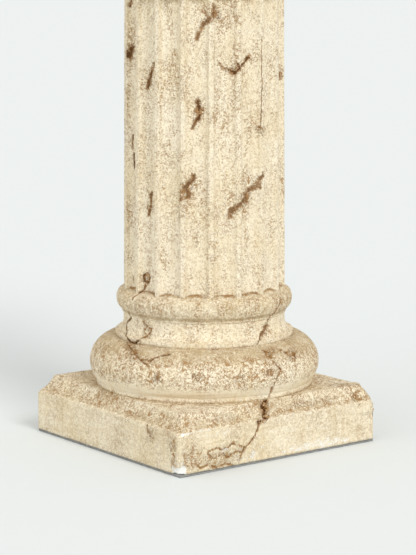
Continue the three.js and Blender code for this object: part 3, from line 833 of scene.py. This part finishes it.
def markRound(piece):
    spots, where, stain, burnt = damage(piece, "round")
    noise = partial(softNoise, spots)
    height = spots[:, 2]
    broken = noise(40, 3) * 0.5 + noise(14, 4) * 0.35
    stipple = np.zeros(len(spots))
    for *place, reach in pittedPatches:
        away = np.linalg.norm(where - onRound([place])[0], axis=1) + reach * 0.3 * broken
        stipple = np.maximum(stipple, 0.5 * (1 - smoothstep(away, reach * 0.3, reach * 1.2)))
    for number, (*place, reach) in enumerate(tornPatches):
        away = np.linalg.norm(where - onRound([place])[0], axis=1)
        away = away + reach * 0.35 * noise(9, seeds["torn"] + number)
        stain, burnt = overlaid(stain, burnt, 0.47 * (1 - smoothstep(away, reach * 0.3, reach * 1.1)), 0.8)
        stipple = np.maximum(stipple, 0.7 * (1 - smoothstep(away, reach * 0.6, reach * 1.6)))
    onTorus, onAstragal = fadedBump(height, 86, 96, 120, 133), fadedBump(height, 172, 178, 192, 199)
    stipple = np.maximum(stipple, onTorus * (0.75 + 0.4 * broken))
    stipple = np.maximum(stipple, onAstragal * (0.22 + 0.25 * broken))
    grime = np.max([strength * fadedBump(height, *band) for strength, *band in grimeBands], axis=0)
    grime = grime * (0.92 + 0.25 * broken)

    # Flutes: phase runs from 0 to 1 across each, and hollow says how deep in it a point lies
    turn = np.arctan2(spots[:, 1], spots[:, 0]) - math.radians(column["fluteTurn"])
    phase = (turn * column["flutes"] / (2 * math.pi)) % 1
    hollow = np.clip(1 - np.abs(2 * phase - 1) ** 2.4 * 1.35, 0, 1) ** 0.6
    # Painted shade: a dark line down the wall of each flute that turns away from the key light, and a fainter
    # one down its other wall
    wall = np.exp(-(((phase - 0.115) / 0.028) ** 2)) + 0.35 * np.exp(-(((phase - 0.885) / 0.03) ** 2))
    onShaft = smoothstep(height, 199, 206) * (height < 566)
    grime = np.maximum(grime, onShaft * wall * (0.42 + 0.22 * softNoise(spots * (1, 1, 0.25), 26, 33)))
    arris = 1 - smoothstep(np.minimum(phase, 1 - phase), 0.05, 0.09)
    stipple = stipple * (1 - 0.6 * arris * onShaft)

    # Dark folds along the scallops at the shaft's foot, partly grime and partly painted shade in the crease,
    # laid into the grime, stain and burnt marks; and painted shadow of the bead in the flutes' upper ends
    junction = column["shaftFoot"] + hollow * column["fluteDepth"] / 2.0 + 0.8 * noise(16, 31)
    fold = np.exp(-((height - junction) / np.where(height > junction, 1.3, 2.6)) ** 2)
    fold = fold * smoothstep(hollow, 0.05, 0.5) * np.clip(0.95 + 0.35 * noise(24, 32), 0.35, 1)
    grime = np.maximum(grime, fold * (0.95 + 0.2 * broken))
    stain, burnt = overlaid(stain, burnt, 0.62 * fold * smoothstep(hollow, 0.3, 0.8), 0.45)
    upperEnd = smoothstep(height + 9 * hollow, 559, 569) * (height < 567) * smoothstep(hollow, 0.1, 0.6)
    grime = np.maximum(grime, 0.66 * upperEnd)
    streak = 0.9 * fadedBump(height, 76, 80, 85, 93)
    setMarks(piece, stain=stain, burnt=burnt, stipple=stipple, grime=grime, streak=streak)


def markPlinth(piece):
    spots, _, stain, burnt = damage(piece, "block")
    noise = partial(softNoise, spots)
    height = spots[:, 2]
    broken = noise(45, 13) * 0.5 + noise(15, 14) * 0.35
    onCove = smoothstep(height + 0.8 * noise(10, 15), 53.2, 55.4)
    lowSlope = np.clip((73.5 - height) / 19, 0, 1)
    byTorus = 1 - smoothstep(np.hypot(spots[:, 0], spots[:, 1]), 139, 150)
    for number, (place, reach, strength, dark) in enumerate(plinthPatches):
        away = np.linalg.norm((spots - place) / reach, axis=1) + 0.3 * noise(9, seeds["plinth"] + number)
        stain, burnt = overlaid(stain, burnt, strength * (1 - smoothstep(away, 0.4, 1.15)), dark)
    leftFace = smoothstep(-spots[:, 0], 153, 154.5) * (1 - onCove)
    otherFaces = (1 - leftFace) * (1 - onCove)
    grime = np.maximum(leftFace * (0.44 + 0.12 * broken), otherFaces * (0.42 + 0.14 * broken))
    # Grime on the cove and top, darker towards the cove's foot, with painted shadow of the torus on the top
    # close under it
    grime = np.maximum(grime, onCove * (0.30 + 0.34 * lowSlope + 0.12 * broken + 0.25 * byTorus))
    stipple = 0.40 * onCove + 0.05 + 0.3 * broken
    streak = (1 - onCove) * (0.62 - 0.3 * broken) - 0.8 * stain
    setMarks(piece, stain=stain, burnt=burnt, stipple=stipple, grime=grime, streak=streak)


def joinPieces(name, pieces):
    bpy.ops.object.select_all(action="DESELECT")
    for piece in pieces:
        piece.select_set(True)
    bpy.context.view_layer.objects.active = pieces[0]
    bpy.ops.object.join()
    joined = pieces[0]
    joined.name = name
    joined.data.name = name
    joined.data.shade_smooth()
    return joined


def trianglesOf(piece):
    return sum(len(p.vertices) - 2 for p in piece.data.polygons)


markRound(roundBody)
markPlinth(plinthBlock)
columnPiece = joinPieces("columnCasting", [roundBody, plinthBlock])
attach(columnPiece, "root")
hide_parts("column")
print("column casting:", trianglesOf(columnPiece), "triangles")


# Capital: bell, two rows of leaves, scrolls, flowers and abacus

capital = {
    "foot": 584.8, "height": 215.2, "bellFoot": 86, "bellLip": 112,
    "abacusThickness": 30, "abacusReach": 146, "abacusHollow": 31, "horn": 32,
    # The abacus's edge: how far in from its reach, at which share of its thickness
    "abacusEdge": [(9, 0), (9, 0.08), (8.6, 0.2), (7.2, 0.32), (4.8, 0.42), (2.4, 0.47), (2.2, 0.53),
                   (0.2, 0.55), (0, 0.6), (0, 0.8), (0.1, 0.95), (0.7, 1.0)],
    "leaves": 8, "lobes": 3, "teeth": 3, "relief": 3.2,
    "tip": 6, "roll": 195, "notch": 0.34,  # roll is degrees that a leaf's tip turns over
    "sides": 4, "flower": 17, "petals": 5,
    "voxel": 2.38,
}
lowerLeaf = {"height": 66, "width": 62, "stand": 11, "lean": 5, "curl": 10, "stem": 0.0, "turn": 22.5}
upperLeaf = {"height": 128, "width": 62, "stand": 6, "lean": 9, "curl": 11, "stem": 0.34, "turn": 0.0}
volute = {"radius": 23, "eye": 6, "width": 38, "band": 5, "groove": 4.2, "turns": 1.7, "reach": 154,
          "rise": 24.0, "from": 92.2, "spread": 0.45, "channel": 3.6, "taper": 0.38}
helix = {"radius": 13, "eye": 4.4, "width": 30, "band": 4, "groove": 4.0, "turns": 1.15, "reach": 121,
         "rise": 13.0, "from": 99.8, "spread": 0.42, "middle": 115, "apart": 12.2}
underAbacus = capital["height"] - capital["abacusThickness"]


def circle(count):
    return np.linspace(0, 2 * math.pi, count, endpoint=False)


def scaled(spots):
    return [tuple(p) for p in spots * mm]


def bellRadius(height):
    share = np.clip(height / underAbacus, 0, 1)
    foot, lip = capital["bellFoot"], capital["bellLip"]
    return foot + (lip - foot) * (0.15 * share + 0.85 * share ** 4)


def ringAt(radius, angle, height):
    radius, angle, height = np.broadcast_arrays(radius, angle, height)
    return scaled(np.stack([radius * np.cos(angle), radius * np.sin(angle), capital["foot"] + height], 1))


def leafRing(leaf, edge, out, back):
    far, stem = np.abs(out), leaf["stem"]
    lobed = max(0.0, (edge - stem) / (1 - stem))
    crown = abs(math.sin(math.pi * capital["lobes"] * lobed)) ** 0.8
    tooth = abs(math.sin(math.pi * capital["lobes"] * capital["teeth"] * lobed)) ** 0.7
    spread = 0.22 + 0.78 * smoothstep(edge, stem - 0.1, stem + 0.14) if stem > 0 else 1
    outline = (0.8 + 0.3 * math.sin(math.pi * lobed * 0.85)) * math.sqrt(1 - edge ** 5) * spread
    width = leaf["width"] / 2 * (1 - capital["notch"] * (1 - crown)) * (1 - 0.09 * (1 - tooth))
    across = out * outline * width
    along = (1 - far) * 0.78 * edge + far * min(1.0, edge + 0.04 * crown * (1 - edge))
    straight = leaf["height"] - leaf["curl"]
    rolled = math.radians(capital["roll"])
    bendAt = straight / (straight + leaf["curl"] * rolled)
    rise = np.minimum(along / bendAt, 1)
    turned = rolled * np.maximum(0, (along - bendAt) / (1 - bendAt))
    curled = smoothstep(along, bendAt - 0.06, bendAt + 0.12)
    height = straight * rise + leaf["curl"] * np.sin(turned)
    stand = leaf["stand"] + leaf["lean"] * rise ** 2 + leaf["curl"] * (1 - np.cos(turned))
    ribs = crown * far * (1.3 - far) + 0.9 * (1 - far) ** 2 * (1 - along)
    veins = 0.55 * (2 * tooth - 1) * smoothstep(far, 0.12, 0.5) - 0.95 * np.exp(-(((far - 0.2) / 0.09) ** 2))
    parting = -1.4 * (1 - crown) ** 2 * smoothstep(far, 0.15, 0.6)
    offset = capital["relief"] * (ribs + (veins + parting) * (1 - 0.5 * curled))
    if back:
        offset = capital["relief"] * ribs - ((stand + 4) * (1 - curled) + capital["tip"] * curled)
    radius = bellRadius(height) + stand
    angle = math.radians(leaf["turn"]) + across / radius
    return ringAt(radius + np.cos(turned) * offset, angle, height - np.sin(turned) * offset)


def makeLeaf(name, leaf):
    across = np.linspace(-1, 1, 33)
    rings = [leafRing(leaf, edge, across, False) + leafRing(leaf, edge, across[::-4], True)
             for edge in np.linspace(0, 0.999, 56)]
    return newPiece(name, *skin(rings))


def spiralGroove(shape, r, around):
    winding = shape["turns"] * (1 - r / shape["radius"]) + (around - 1.2) / (2 * math.pi)
    away = np.abs(winding - np.round(winding)) * 2  # 0 in the groove between two turns, 1 on the crest
    return shape["groove"] * (1 - smoothstep(away, 0.12, 0.75)) * (r > shape["eye"] * 1.15)


def makeVolute(name, shape, turn):
    around = circle(64)
    turning = Matrix.Rotation(math.radians(turn), 3, "Z")
    radii = np.linspace(1, shape["radius"], 15)
    strap = (-0.92, -0.8, -0.6, -0.3, 0, 0.3, 0.6, 0.8, 0.92)
    rows = [(r, -1.0) for r in radii] + [(shape["radius"], side) for side in strap]
    rows += [(r, 1.0) for r in radii[::-1]]
    eyeHeight = underAbacus - shape["rise"] + 2
    # The strap narrows as it turns under
    narrowed = 1 - shape["taper"] * smoothstep(-np.sin(around), -0.6, 0.9)
    rings = []
    for r, side in rows:
        onFace = abs(side) == 1
        across = shape["width"] / 2 * side * narrowed
        if onFace:
            across = across - np.sign(side) * spiralGroove(shape, r, around)
        else:
            r = r - shape["channel"] * (1 - smoothstep(abs(side), 0.4, 0.85))
        out, height = shape["reach"] + r * np.cos(around), capital["foot"] + eyeHeight + r * np.sin(around)
        rings.append([tuple(turning @ Vector(p * mm)) for p in np.stack([out, across, height], 1)])
    return newPiece(name, *skin(rings))


def makeHelix(name, shape, hand):
    around = circle(48)
    eyeHeight = capital["foot"] + underAbacus - shape["rise"]
    rows = [(1, -1.0), (0.95 * shape["radius"], -1.0)] + [(shape["radius"], side) for side in (-0.9, 0, 0.85)]
    rows += [(r, 1.0) for r in np.linspace(0.98 * shape["radius"], 1, 13)]
    rings = []
    for r, side in rows:
        button = 2.4 * max(0.0, 1 - (r / shape["eye"]) ** 2)
        carved = (side == 1) * (button - spiralGroove(shape, r, around))
        out = shape["middle"] + shape["width"] / 2 * side + carved
        aside = hand * (shape["apart"] + r * np.cos(around))
        spots = np.stack([out + 0 * around, aside, eyeHeight + r * np.sin(around)], 1)
        rings.append(scaled(spots)[::hand])
    return newPiece(name, *skin(rings))


def makeStalk(name, shape, turn, hand):
    eyeHeight = underAbacus - shape["rise"]
    head = {"turn": turn + hand * 4, "height": eyeHeight + shape["radius"] - 3, "radius": shape["reach"]}
    foot = {"turn": turn + hand * 22.5, "height": shape["from"], "radius": bellRadius(shape["from"]) + 2}
    share = np.linspace(0, 1, 22)
    angle = np.radians(foot["turn"] + (head["turn"] - foot["turn"]) * share ** 0.8)
    height = foot["height"] + (head["height"] - foot["height"]) * np.sin(share * math.pi / 2)
    radius = foot["radius"] + (head["radius"] - foot["radius"]) * share ** 1.9
    path = np.stack([radius * np.cos(angle), radius * np.sin(angle), capital["foot"] + height], 1)
    along = np.gradient(path, axis=0)
    along /= np.linalg.norm(along, axis=1)[:, None]
    wide = np.stack([-np.sin(angle), np.cos(angle), 0 * angle], 1)
    wide -= along * np.sum(wide * along, axis=1)[:, None]
    wide /= np.linalg.norm(wide, axis=1)[:, None]
    thick = np.cross(wide, along)
    section = [(1, -1), (-1, -1)] + [(w, 0.35 + 0.65 * w * w) for w in np.linspace(-1, 1, 9)]
    rings = []
    for i, point in enumerate(path):
        sideways = wide[i] * shape["width"] * shape["spread"] * (0.6 + 0.4 * share[i]) / 2
        through = thick[i] * shape["band"] / 2
        rings.append(scaled(np.array([point + sideways * w + through * t for w, t in section])))
    return newPiece(name, *skin(rings))


def makeBell():
    heights = [*np.linspace(0, underAbacus, 40), underAbacus + 2]
    return newPiece("bell", *skin([ringAt(bellRadius(h), circle(96), h) for h in heights]))


def makeAbacus():
    c = capital
    sideFrom = c["abacusReach"] - c["horn"] / 2 * math.sqrt(2)
    rings = []
    for inset, level in c["abacusEdge"]:
        height = c["foot"] + underAbacus + level * c["abacusThickness"]
        ring = []
        for side in range(c["sides"]):
            turning = Matrix.Rotation(side * math.pi / 2, 3, "Z")
            for share in np.linspace(-1, 1, 29):
                out = c["abacusReach"] - c["abacusHollow"] * (1 - share ** 2) - inset
                ring.append(tuple(turning @ Vector((out, share * (sideFrom - inset * 0.6), height)) * mm))
        rings.append(ring)
    return newPiece("abacus", *skin(rings))


def makeFlower():
    c = capital
    start = c["abacusReach"] - c["abacusHollow"] - 12
    middle = c["foot"] + underAbacus + 0.42 * c["abacusThickness"]
    around = circle(80)
    lobe = np.abs(np.cos(around * c["petals"] / 2)) ** 0.5
    rows = [(0.75, 0), (0.98, 13), (1.0, 15)] + [(share, None) for share in np.linspace(0.95, 0.05, 14)]
    rings = []
    for share, out in rows:
        r = c["flower"] * share * (1 - 0.30 * (1 - lobe) * share)
        if out is None:
            bulge = 15 + 3.2 * math.sin(math.pi * share) * lobe - 2.0 * (1 - lobe) + 2.5 * share ** 3
            bud = 8 * math.sqrt(max(0, 1 - (share / 0.33) ** 2)) + 0.8 * np.cos(around * 5) * (share < 0.3)
            out = np.maximum(bulge, 15 + bud)
        out = start + out + 0 * around
        rings.append(scaled(np.stack([out, r * np.cos(around), middle + r * np.sin(around)], 1)))
    return newPiece("flower", *skin(rings))


def remeshed(piece, size):
    oneSkin = piece.modifiers.new("oneSkin", "REMESH")
    oneSkin.mode = "VOXEL"
    oneSkin.voxel_size = size * mm
    return bakedMesh(piece, oneSkin)


def hollowness(piece, rounds=7):
    spots = verticesOf(piece)
    size = len(spots)
    pairs = np.empty(len(piece.data.edges) * 2, np.int64)
    piece.data.edges.foreach_get("vertices", pairs)
    a, b = pairs.reshape(-1, 2).T
    count = np.bincount(a, minlength=size) + np.bincount(b, minlength=size)
    calm = spots.copy()
    for _ in range(rounds):
        calm = np.stack([np.bincount(a, axis[b], size) + np.bincount(b, axis[a], size) for axis in calm.T], 1)
        calm /= np.maximum(count, 1)[:, None]
    return np.sum((calm - spots) * normalsOf(piece), axis=1)


def makeCapital():
    c = capital
    pieces = [makeBell(), makeAbacus()]
    leaves = [makeLeaf("lowerLeaf", lowerLeaf), makeLeaf("upperLeaf", upperLeaf)]
    perSide = [makeFlower(), makeVolute("volute", volute, 45)]
    for hand in (-1, 1):
        perSide += [makeHelix("helix", helix, hand), makeStalk("voluteStalk", volute, 45, hand),
                    makeStalk("helixStalk", helix, 0, hand)]
    for count, ringed in ((c["leaves"], leaves), (c["sides"], perSide)):
        pieces += [runTree(piece, ringTree, Count=count, Finish=plaster) for piece in ringed]
    whole = remeshed(joinPieces("capitalCasting", pieces), c["voxel"])
    wearPiece(whole)
    spots = verticesOf(whole)
    spots[:, :2] = np.clip(spots[:, :2], -c["abacusReach"], c["abacusReach"])
    spots[:, 2] = np.clip(spots[:, 2], c["foot"], c["foot"] + c["height"])
    whole.data.vertices.foreach_set("co", (spots * mm).ravel())
    broken = softNoise(spots, 30, 21) * 0.5
    # Painted shade in the capital's hollows, between leaves, scrolls and bell, from how concave the surface
    # is
    setMarks(whole, grime=0.95 * smoothstep(hollowness(whole), 0.10, 0.85) * (0.9 + 0.4 * broken),
             stipple=0.25 + 0.5 * broken)
    whole.data.shade_smooth()
    return whole


capitalPiece = makeCapital()
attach(capitalPiece, "root")
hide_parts("capital")
print("capital casting:", trianglesOf(capitalPiece), "triangles")


# Base board: grey hardboard glued under the plinth

boardLook = {"light": srgb(160, 160, 158), "dark": srgb(118, 118, 118), "roughness": 0.92,
             "grainDepth": 0.0004}


def dressBaseBoard():
    material = bpy.data.materials.new("greyHardboard")
    material.use_nodes = True
    tree = material.node_tree
    shader = tree.nodes["Principled BSDF"]
    place = tree.nodes.new("ShaderNodeTexCoord").outputs["Object"]
    fibre = noiseOf(tree, stretched(tree, place, (1, 1, 9)), 130, 4, 0.65)
    tone = mixColour(tree, mapRange(tree, fibre, 0.38, 0.64), boardLook["light"], boardLook["dark"])
    tree.links.new(tone, shader.inputs["Base Color"])
    shader.inputs["Roughness"].default_value = boardLook["roughness"]
    bump = addNode(tree, "ShaderNodeBump", Distance=boardLook["grainDepth"], Height=fibre)
    tree.links.new(bump.outputs["Normal"], shader.inputs["Normal"])
    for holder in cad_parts["base_board"].material_slots:
        holder.material = material


dressBaseBoard()
print("base board dressed")


# Floor

floorLook = {"reach": 80, "colour": srgb(224, 229, 231), "roughness": 0.9, "sheen": 0.1}  # reach in metres


def makeFloor():
    material = bpy.data.materials.new("paleFloor")
    material.use_nodes = True
    shader = material.node_tree.nodes["Principled BSDF"]
    shader.inputs["Base Color"].default_value = floorLook["colour"]
    shader.inputs["Roughness"].default_value = floorLook["roughness"]
    shader.inputs["Specular IOR Level"].default_value = floorLook["sheen"]
    far = floorLook["reach"]
    corners = [(-far, -far, 0), (far, -far, 0), (far, far, 0), (-far, far, 0)]
    newPiece("floor", corners, [(0, 1, 2, 3)], material)


makeFloor()
